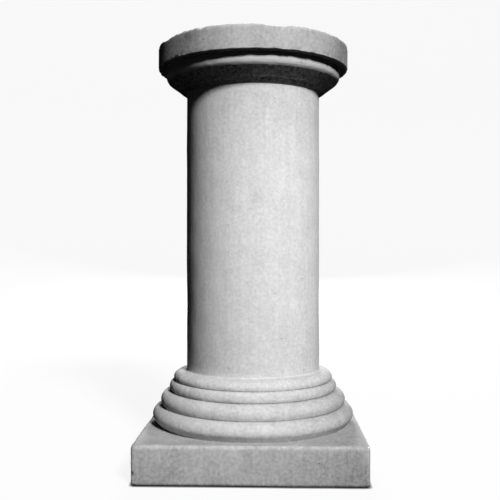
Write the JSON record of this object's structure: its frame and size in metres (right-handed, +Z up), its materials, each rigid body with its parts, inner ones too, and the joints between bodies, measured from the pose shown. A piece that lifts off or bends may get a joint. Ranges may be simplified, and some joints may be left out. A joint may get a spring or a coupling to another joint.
{
  "type": "garden column",
  "caption": "Short cast stone garden column with a square plinth, stepped roll mouldings, a plain round shaft and a round flat top that carries an urn, sundial or bird bath.",
  "frame": {"origin": "middle of the plinth's underside, on the ground", "axes": "+Z up along the shaft, -Y towards the viewer, the plinth's sides face along X and Y"},
  "size_m": [0.392, 0.392, 0.762],
  "materials": {
    "cast_stone": "matt, dry, fine sandy grain, weathered, worn arrises and small chips"
  },
  "bodies": {
    "root": {"column": "cast_stone"}
  },
  "joints": []
}
